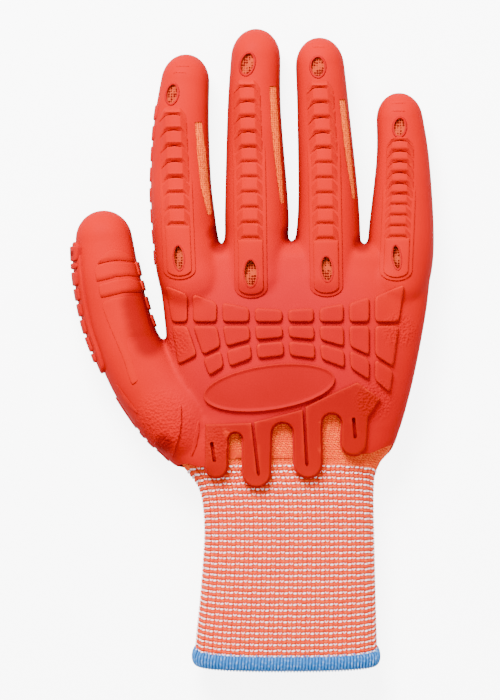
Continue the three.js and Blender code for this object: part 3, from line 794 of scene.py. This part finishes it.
def knuckle_blocks():
    bm = bmesh.new()
    nodes = []
    for r, (row_name, first) in enumerate([("upper", 0), ("middle", 0), ("lower", 1)]):
        for c in range(first, len(COLUMNS) - 1):
            left = COLUMN_GAP if c else -0.4
            corners = [crossing(COLUMNS[c], ROWS[r + 1], left, ROW_GAP),
                       crossing(COLUMNS[c + 1], ROWS[r + 1], -COLUMN_GAP, ROW_GAP),
                       crossing(COLUMNS[c + 1], ROWS[r], -COLUMN_GAP, -ROW_GAP),
                       crossing(COLUMNS[c], ROWS[r], left, -ROW_GAP)]
            relief(bm, rounded(corners, 1.8), low=-0.4, high=1.9, soft=0.8, pitch=1.6)
            nodes.append(f"knuckle_{row_name}_{c + 1}")
    piece("knuckle_blocks", bm, nodes, guard_rubber)


knuckle_blocks()

# %% [markdown]
# ## The oval plate
# Below the knuckles lies an oval plate with a thin rim round a shallow, bare dish.

# %% Oval plate
def oval_plate():
    bm = bmesh.new()
    relief(bm, oval(7.7, -15.1, 26.6, 9, 8.1, 72), low=-0.4, high=1.7, soft=0.35, pitch=2.2, dish=(1.3, 0.7))
    piece("oval_plate", bm, ["back_badge"], guard_rubber)


oval_plate()

# %% [markdown]
# ## The wrist guard
# Four tongues hang from a plate over the wrist, with arches between them, and each tongue has a slot down its
# middle so that it bends. The outline is one closed line round the tongues and arches.

# %% Wrist guard
GUARD_TOP = [(-17.9, -29.9), (0.8, -29.2), (20.6, -24), (21.6, -23.2), (33, -17.5), (43, -13), (52.3, -19.5),
             (47.4, -27.2)]
SLOTS = [((-15.4, -36.9), (-14.2, -45)), ((0.8, -27), (3.5, -50.5)), ((21.5, -21), (22.9, -46.6)),
         ((41.5, -27.1), (42.3, -35.4))]
SLOT_HALF = 0.7


def wrist_guard():
    plate = bmesh.new()
    relief(plate, fluted_edge(0.6) + GUARD_TOP[::-1], low=-1.5, high=2.3, soft=0.6, pitch=1.6)
    slots = []
    for (x0, y0), (x1, y1) in SLOTS:
        reach = [(x0 + (x1 - x0) * t, y0 + (y1 - y0) * t) for t in (0, 0.04, 0.5, 0.96, 1)]
        slots.append((strip(reach, [0.25, SLOT_HALF, SLOT_HALF, SLOT_HALF, 0.25]), 5, CUT_TOP))
    piece("fluted_wrist_guard", cut(plate, cutter(slots)), ["wrist_guard"], wrist_rubber)


wrist_guard()

# %% [markdown]
# ## Reliefs on the sides
# The thumb's guard, and small grips on the index finger and the thumb, stand on the side of a limb, where a
# view from above can't lay them. Their plan is drawn along the hand and upwards instead, and each corner is
# found by looking at the limb from the side, then moved out square to the surface.

# %% Side view onto a limb
def from_side(start, direction):
    """A layer for reliefs: start gives the place that the side is seen from, for each place along."""
    def lay(y, z, height):
        origin = Vector((start(y), y, z))
        hit, normal, _, _ = surface.ray_cast(origin, Vector((direction, 0, 0)))
        if hit is None:
            hit, normal, _, _ = surface.find_nearest(origin)
        return hit + normal * height
    return lay


thumb_outer = heel_side = from_side(lambda y: -95, 1)
index_outer = from_side(lambda y: -45, 1)
thumb_inner = from_side(lambda y: float(np.interp(y, [12, 36], [-36.3, -42])), -1)

# %% Thumb guard
THUMB_TEETH = [(42, 36), (35.2, 32.8), (31.6, 26.2), (25, 20.2), (19, 13.9), (12.6, 7), (5.8, -0.1),
               (-0.9, -4.3)]
INNER_TEETH = [(35.6, 30), (28, 23.9), (21.5, 16.2), (14.2, 9.3)]
BACKING = [(43, 12), (44, 16), (42.5, 19), (36, 20.6), (28, 21.7), (13, 22.2), (-3, 22.6), (-8, 21.5),
           (-9.5, 16), (-6, 8), (36, 7)]


def block(first, last, low, high):
    return rounded([(last, low), (first, low), (first, high), (last, high)], 1.1)


def thumb_guard():
    bm = bmesh.new()
    relief(bm, rounded(BACKING, 2), low=-0.3, high=1.5, soft=0.6, pitch=1.6, lay=thumb_outer)
    for first, last in THUMB_TEETH:
        relief(bm, block(first, last, 8, 20), low=-0.2, high=2.5, soft=0.5, pitch=1.8, lay=thumb_outer)
    recess = bmesh.new()
    relief(recess, block(40.7, 37.3, 13, 18.6), low=1.7, high=4, soft=0.2, pitch=1.8, lay=thumb_outer)
    bm = cut(bm, recess)
    for first, last in INNER_TEETH:
        relief(bm, block(first, last, 9, 18.5), low=-0.2, high=0.9, soft=0.4, pitch=1.8, lay=thumb_inner)
    piece("thumb_side_guard", bm, ["thumb_guard"], guard_rubber)


thumb_guard()

# %% Bands over the thumb
BANDS = [([(-61, 35.6), (-57.5, 39.6), (-55, 40.6), (-52, 40.2), (-49, 38.7), (-46.8, 36.8)],
          [(-61.5, 34.6), (-56.7, 35.8), (-52.7, 36.2), (-46.8, 35.7)]),
         ([(-62.4, 31.6), (-62, 33.8), (-58.7, 35), (-54.7, 35.5), (-52.2, 35.2), (-45.8, 35), (-44.9, 33)],
          [(-61.8, 27.5), (-58.7, 28.1), (-54.3, 29.4), (-48.6, 30), (-44, 29.4)]),
         ([(-60.8, 24.3), (-60.8, 26.2), (-58.7, 27), (-54.3, 28.2), (-48.6, 28.8), (-44.6, 27.8), (-43.9, 26)],
          [(-60, 20.9), (-55.9, 21.8), (-51.4, 23), (-48.6, 23.2), (-43.2, 23.2)])]
BIG_PANEL = [(-59.3, 19.2), (-55.9, 20.6), (-50.6, 21.7), (-44.4, 21.6), (-43.2, 20.6), (-38.9, 4.5),
             (-35.4, 2.2), (-40, -8), (-47.5, -14.4), (-49, -9.7), (-51.2, -2.8), (-55.2, 6.5), (-59.3, 16.6)]


def band_slope(bottom):
    """A band slopes down to its edge on the wrist side, like a scale."""
    xs, ys = zip(*bottom)
    return lambda x, y: 0.4 + 0.6 * clamped((y - float(np.interp(x, xs, ys))) / 1.3)


def panel_slope(x, y):
    """The big panel sinks into the skin towards its lower right."""
    left = float(np.interp(y, [-14.4, -9.7, -2.8, 6.5, 16.6], [-47.5, -49, -51.2, -55.2, -59.3]))
    return 1 - 1.6 * clamped((x - left - 2) / 4) * clamped((8 - y) / 8)


def thumb_bands():
    bm = bmesh.new()
    for top, bottom in BANDS:
        relief(bm, rounded(top + bottom[::-1], 0.7), low=-0.3, high=1.2, soft=0.4, pitch=0.9,
               slope=band_slope(bottom))
    relief(bm, rounded(BIG_PANEL, 1.5), low=-0.4, high=0.5, soft=0.3, pitch=1.5, slope=panel_slope)
    nodes = ["thumb_band_1", "thumb_band_2", "thumb_band_3"]
    piece("thumb_bands", bm, nodes, guard_rubber)


thumb_bands()

# %% Grips on the index finger and creases near the fingertips
CREASES = [(-27.3, 115), (-28.6, 112.3), (27.6, 122.8), (60.1, 100.2), (60.1, 96.9)]


def small_reliefs():
    bm = bmesh.new()
    for i in range(8):
        far = 99.2 - 8.4 * i
        relief(bm, block(far, far - 6, 6, 17), low=-0.2, high=0.55, soft=0.45, pitch=1.6, lay=index_outer)
    for x, y in CREASES:
        arc = [(x + d, y - 0.04 * d * d) for d in (-2.6, -1.3, 0, 1.3, 2.6)]
        relief(bm, strip(arc, [0.15, 0.3, 0.35, 0.3, 0.15]), low=-0.2, high=0.22, soft=0.12, pitch=1.2)
    piece("index_side_grips", bm, [], skin_rubber)


small_reliefs()

# %% [markdown]
# ## The heel of the hand
# A raised crescent and two ridges run round the ball of the thumb, and low teeth notch its outline.

# %% Heel
CRESCENT = [(-28.8, -22.3), (-27.6, -21.8), (-27.5, -28.9), (-28.2, -33.9), (-30.1, -40), (-31.4, -44.2),
            (-34.4, -41.6), (-36.5, -38), (-32.4, -33.9), (-29.8, -28.9)]
RIDGES = [[(-20.7, -28.5), (-21.3, -33), (-22.3, -38), (-23.6, -42.5)],
          [(-53.8, -13.8), (-51.5, -18), (-48.6, -22), (-45.4, -25.3)]]
HEEL_TEETH = [(-19, -31.5), (-33, -35.6), (-36.6, -39.4), (-40.2, -44.8)]


def heel():
    bm = bmesh.new()
    relief(bm, rounded(CRESCENT, 1), low=-0.3, high=1.2, soft=0.5, pitch=1.2)
    for line in RIDGES:
        relief(bm, strip(line, [0.3, 0.9, 0.9, 0.3]), low=-0.3, high=0.5, soft=0.3, pitch=1.4)
    for first, last in HEEL_TEETH:
        relief(bm, block(first, last, 5, 17), low=-0.2, high=0.5, soft=0.35, pitch=1.6, lay=heel_side)
    piece("heel_crescents", bm, [], skin_rubber)


heel()

# %% [markdown]
# ## The knitted cuff
# The cuff is a 1 by 1 rib: columns of V stitches alternate with columns of purl bumps, and courses of orange
# yarn alternate with white ones. Each stitch is modelled, because from close by a knit is nothing but its
# stitches. A V is two slim beads that lean together and a purl is one wide bead. One cell of the pattern is
# made flat, the Array modifier repeats it, and the flat swatch is then wrapped round the wrist. Above the rib
# lies a finer plain knit of V stitches alone.

# %% The wrist as a wrapping surface
WRIST = [(-16, 17.2, 44.5, 30.2, 3), (-26.3, 17, 42.6, 29.6, 2.6), (-39.7, 15, 41.8, 28, 2.4),
         (-45, 12.3, 40.5, 26.8, 2.2), (-47, 12.4, 39.4, 26.4, 2.1), (-49, 12.8, 38, 26.1, 2),
         (-51.4, 13.4, 36.4, 25.9, 2), (-54, 14.3, 35.3, 25.8, 1.6), (-56.5, 14.8, 34.7, 25.8, 1.3),
         (-62, 15.4, 34, 25.6, 1.1), (-75, 15.9, 33.8, 25.4, 1.1), (-98, 15.4, 34.8, 25.2, 1.3),
         (-117, 14.7, 36, 25, 2), (-136, 14.6, 37, 25, 2)]
RIB_START, RIB_LEAN = -49.5, -0.22
HEM_TOP, HEM_LEAN, HEM_DOWN = -118.8, 0.26, 4.5
CUFF_X, CUFF_Z = 15, 12.5
ROUND_STEPS = 240
RUN = RIB_START - HEM_TOP


def wrist_ring(y):
    """The wrist's section at a place, as points spaced evenly round it."""
    rows = faired(WRIST, 2)
    ys = [row[0] for row in rows][::-1]
    x, half, high, low = (float(np.interp(y, ys, [row[k] for row in rows][::-1])) for k in (1, 2, 3, 4))
    angle = np.linspace(0, 2 * math.pi, 1441)
    c, s = np.cos(angle), np.sin(angle)
    px = x + half * np.sign(c) * np.abs(c) ** (2 / HAND_ROUND)
    pz = (high + low) / 2 + (high - low) / 2 * np.sign(s) * np.abs(s) ** (2 / HAND_ROUND)
    walked = np.concatenate([[0], np.cumsum(np.hypot(np.diff(px), np.diff(pz)))])
    even = np.linspace(0, walked[-1], ROUND_STEPS + 1)
    return np.interp(even, walked, px), np.interp(even, walked, pz)


def wrist_table():
    """Points on the wrist for each place round it and each millimetre down it."""
    downs = np.arange(-30, 94, 1.0)
    table = np.zeros((len(downs), ROUND_STEPS + 1, 3))
    for j, down in enumerate(downs):
        px, pz = wrist_ring(RIB_START - down)
        lean = (RIB_LEAN + (HEM_LEAN - RIB_LEAN) * np.clip(down / RUN, 0, 1)) * (pz - CUFF_Z)
        table[j] = np.stack([px, RIB_START - down - lean, pz], axis=1)
    return downs, table


DOWNS, TABLE = wrist_table()
GIRTH = float(np.hypot(*np.diff(TABLE[70][:, [0, 2]], axis=0).T).sum())
print("girth of the cuff:", round(GIRTH, 1), "mm")


def wrapped(points):
    """Flat points (round, down, height) in millimetres laid on the wrist."""
    u = np.mod(points[:, 0] / GIRTH, 1) * ROUND_STEPS
    v = np.clip(points[:, 1] - DOWNS[0], 0, len(DOWNS) - 1.01)
    i, j = u.astype(int) % ROUND_STEPS, v.astype(int)
    fu, fv = (u - u.astype(int))[:, None], (v - j)[:, None]
    a, b, c, d = TABLE[j, i], TABLE[j, i + 1], TABLE[j + 1, i], TABLE[j + 1, i + 1]
    place = (a * (1 - fu) + b * fu) * (1 - fv) + (c * (1 - fu) + d * fu) * fv
    round_way = TABLE[j, (i + 2) % ROUND_STEPS] - TABLE[j, (i - 1) % ROUND_STEPS]
    out = np.cross(c - a, round_way)
    out /= np.linalg.norm(out, axis=1)[:, None]
    middle = np.array([CUFF_X, 0, CUFF_Z])
    inward = np.einsum("ij,ij->i", out, (place - middle) * np.array([1, 0, 1])) < 0
    out[inward] *= -1
    return place + out * points[:, 2:3]


def wrap(bm):
    points = wrapped(np.array([vert.co[:] for vert in bm.verts]))
    for vert, point in zip(bm.verts, points):
        vert.co = point


# %% Stitches
PAIRS = 44
COURSE = 1.07
WALE = GIRTH / (2 * PAIRS)
FINE_PAIRS = 58
FINE_WALE = GIRTH / (2 * FINE_PAIRS)
FINE_COURSE = 0.9
STRIPES = round((RUN + HEM_DOWN) / (2 * COURSE))
FINE_ROWS = 23


def bead(bm, x, y, z, length, width, thick, lean):
    """One strand of yarn as a slim bead, lying at an angle."""
    shape = Matrix.Translation((x, y, z)) @ Matrix.Rotation(lean, 4, "Z")
    shape = shape @ Matrix.Diagonal((length / 2, width / 2, thick / 2, 1))
    shape = shape @ Matrix.Rotation(math.pi / 2, 4, "Y")
    bmesh.ops.create_uvsphere(bm, u_segments=6, v_segments=4, radius=1, matrix=shape)


def stitch_pair(leg, bump):
    """A V stitch and a purl bump side by side, with their strands' lengths, widths and heights."""
    bm = bmesh.new()
    for side in (-1, 1):
        bead(bm, -0.5 * WALE + 0.32 * side, 0, leg[2], leg[0], leg[1], 0.7, math.radians(-50 * side))
    bead(bm, 0.5 * WALE, 0.1, bump[2], bump[0], bump[1], 0.95, math.radians(7))
    return bm


def plain_pair():
    """Two V stitches side by side, as the finer knit above the rib has them."""
    bm = bmesh.new()
    for wale in (-0.5, 0.5):
        for side in (-1, 1):
            bead(bm, FINE_WALE * (wale + 0.21 * side), 0, 0.1, 1.15, 0.56, 0.6, math.radians(-55 * side))
    return bm


def jittered(bm, amount, seed):
    """Small, smooth shifts, because no knit lies perfectly even."""
    points = np.array([vert.co[:] for vert in bm.verts])
    shift = amount * np.sin(points[:, 0] * 0.9 + seed) * np.sin(points[:, 1] * 0.7 + 2 * seed)
    for vert, dy in zip(bm.verts, shift):
        vert.co.y += dy


def knitted(name, stitch, pairs, first, courses, step, finish, seed):
    bmesh.ops.translate(stitch, verts=stitch.verts, vec=(0, first, 0))
    bm = repeated(stitch, (pairs, (GIRTH / pairs, 0, 0)), (courses, (0, step, 0)))
    jittered(bm, 0.12, seed)
    wrap(bm)
    outwards(bm)
    return piece(name, bm, [], finish)


FULL = stitch_pair((1.5, 0.72, 0.15), (1.9, 1.05, 0.35))
SLIM = stitch_pair((1.15, 0.42, 0.05), (1.55, 0.78, 0.42))
white_courses = knitted("white_courses", SLIM, PAIRS, 0, STRIPES, 2 * COURSE, white_yarn, 0.4)
orange_courses = knitted("orange_courses", FULL, PAIRS, COURSE, STRIPES, 2 * COURSE, orange_yarn, 1.1)
wrist_courses = knitted("wrist_courses", plain_pair(), FINE_PAIRS, -FINE_COURSE * FINE_ROWS + 0.4, FINE_ROWS,
                        FINE_COURSE, plain_yarn, 2.3)

# %% [markdown]
# ## The cloth behind the stitches
# Behind the stitches lies the rest of the yarn. It is one tube, a wall that the stitches sit on, and it runs
# on inside the skin as the liner. Both take a darker copy of the orange yarn, which paints the shade that falls
# between the stitches. The tube is a flat grid wrapped like the swatch and closed where its ends meet, and
# Solidify gives it its thickness inwards.

# %% Cuff cloth and liner
LINER_END = -44
CLOTH_TOP = 25
CLOTH_LONG = RUN + HEM_DOWN + CLOTH_TOP


def tube(around, along, section):
    """A grid wrapped round the wrist and closed where its ends meet. The section gives down and height."""
    bm = bmesh.new()
    bmesh.ops.create_grid(bm, x_segments=around, y_segments=along, size=0.5)
    for vert in bm.verts:
        vert.co = ((vert.co.x + 0.5) * GIRTH, *section(vert.co.y + 0.5))
    wrap(bm)
    bmesh.ops.remove_doubles(bm, verts=bm.verts, dist=0.02)
    outwards(bm)
    return bm


def cuff_cloth():
    bm = tube(160, 66, lambda share: (share * CLOTH_LONG - CLOTH_TOP, 0))
    outward = sum((f.calc_center_median() - Vector((CUFF_X, f.calc_center_median().y, CUFF_Z))).dot(f.normal)
                  for f in bm.faces)
    if outward < 0:
        bmesh.ops.reverse_faces(bm, faces=bm.faces)
    obj = piece("cuff_cloth", bm, ["knit_cuff"], painted_shade_yarn)
    wall(obj, 1.2)
    return obj


cloth = cuff_cloth()


def liner():
    bm = melted(hand_form(grow=-2.6, sides=24), voxel=2.2, smooths=3)
    outwards(bm)
    sliced(bm, (0, LINER_END, 0), (0, -1, 0), open_end=True)
    wall(piece("hand_liner", bm, ["knit_liner"], painted_shade_yarn), 1)


liner()

# %% [markdown]
# ## The overlocked hem
# The cuff's end is bound with blue thread that wraps round and round it. The roll under the wraps is a grid
# bent into an oval tube, in a darker copy of the blue thread that paints the shade under the wraps, and each
# wrap is a thin ring, spun once and repeated along the edge.

# %% Hem
HEM_HALF = 3.1
HEM_THICK = 1.6
WRAPS = 130


def oval_roll(angle, half, thick, down):
    """A point on the oval section of the hem: how far down and how high."""
    return down + half * math.cos(angle), thick * math.sin(angle)


def roll_section(share):
    return oval_roll(share * 2 * math.pi, HEM_HALF - 0.25, HEM_THICK - 0.25, RUN + HEM_DOWN)


roll = piece("hem_roll", tube(200, 18, roll_section), [], painted_shade_thread)


def hem_wraps():
    bm = bmesh.new()
    thread = bmesh.ops.create_circle(bm, segments=5, radius=0.34, matrix=Matrix.Translation((0, 1, 0)))["verts"]
    edges = list({edge for vert in thread for edge in vert.link_edges})
    bmesh.ops.spin(bm, geom=edges, cent=(0, 0, 0), axis=(1, 0, 0), dvec=(0, 0, 0), angle=2 * math.pi, steps=16,
                   use_merge=True)
    for vert in bm.verts:
        angle = math.atan2(vert.co.z, vert.co.y)
        out = math.hypot(vert.co.y, vert.co.z) - 1
        down, height = oval_roll(angle, HEM_HALF + out, HEM_THICK + out, RUN + HEM_DOWN)
        vert.co = (vert.co.x + 0.12 * math.sin(2 * angle), down, height)
    bm = repeated(bm, (WRAPS, (GIRTH / WRAPS, 0, 0)))
    for vert in bm.verts:
        wave = math.sin(vert.co.x * 1.3) + math.sin(vert.co.x * 3.1 + 1)
        if vert.co.y < RUN + 3:
            vert.co.y += 0.3 * wave
    wrap(bm)
    outwards(bm)
    return piece("hem_thread", bm, ["cuff_hem"], blue_thread)


wraps = hem_wraps()
print("cuff laid flat:", round(GIRTH), "by", round(CLOTH_LONG), "mm")

# %% [markdown]
# ## Mesh behind the vents
# The vents and slits show the knit. A small patch of mesh lies just under each opening, so that it catches
# light there: a coarse honeycomb in the vents and a fine pale knit in the slits.

# %% Vent mesh material
def vent_mesh(name, base, bead_colour, scale):
    material, tree, shader = new_material(name)
    cells = add(tree, "ShaderNodeTexVoronoi", {"Scale": scale, "Randomness": 0.25, "Vector": on_object(tree)})
    share = ranged(tree, cells.outputs["Distance"], 0.34, 0.5)
    feed(tree, shader, {"Base Color": mixed(tree, share, base, bead_colour), "Roughness": 0.85,
                        "Normal": bumped(tree, share, 0.8, 0.0004), "Specular IOR Level": 0.05})
    return material


honeycomb = vent_mesh("honeycomb_mesh", (0.1, 0.001, 0, 1), (0.36, 0.03, 0.007, 1), 950)
slit_knit = vent_mesh("slit_knit", (0.55, 0.036, 0.001, 1), (0.85, 0.12, 0.01, 1), 1300)

# %% Patches
def patches():
    bm = bmesh.new()
    for x, y, rx, ry, turn in sum(VENTS.values(), []):
        relief(bm, oval(x, y, rx + 1, ry + 1, turn, VENT_CORNERS), low=-1.5, high=-0.9, soft=0.2, pitch=1.2)
    piece("vent_mesh", bm, [], honeycomb)
    bm = bmesh.new()
    for line, halves in SLITS:
        relief(bm, strip(line, [half + 0.9 for half in halves]), low=-1.5, high=-0.5, soft=0.2, pitch=1.6)
    piece("slit_mesh", bm, [], slit_knit)


patches()

# %% [markdown]
# ## Floor and light
# The photograph is a bright studio picture on white. A big soft light stands beyond the fingertips, so that
# each groove is dark on its finger side and lit on the next ledge, and a wide pale sky fills the shadows. The
# floor glows for the camera alone, like a backlit table, so it is white without lighting the glove from below.

# %% Floor and light
def floor():
    bm = bmesh.new()
    bmesh.ops.create_grid(bm, x_segments=2, y_segments=2, size=12)
    obj = new_object("floor", bm)
    material, tree, shader = new_material("pale_floor")
    seen = tree.nodes.new("ShaderNodeLightPath").outputs["Is Camera Ray"]
    feed(tree, shader, {"Emission Color": mixed(tree, seen, (0, 0, 0, 1), (1, 1, 1, 1)), "Roughness": 0.9,
                        "Emission Strength": 6, "Base Color": (0.75, 0.75, 0.75, 1)})
    obj.data.materials.append(material)


def area_light(name, place, size, power):
    """A square light that looks at the middle of the palm."""
    data = bpy.data.lights.new(name, "AREA")
    data.size = size
    data.energy = power
    lamp = linked(name, data)
    lamp.location = place
    lamp.rotation_euler = (-Vector(place)).to_track_quat("-Z", "Y").to_euler()


floor()
area_light("key", (-0.25, 0.75, 0.85), size=0.5, power=53)
area_light("fill", (0.2, -0.3, 1.1), size=1.0, power=9)
world = bpy.data.worlds.new("studio")
world.use_nodes = True
feed(world.node_tree, world.node_tree.nodes["Background"], {"Color": (1, 1, 1, 1), "Strength": 0.8})
bpy.context.scene.world = world
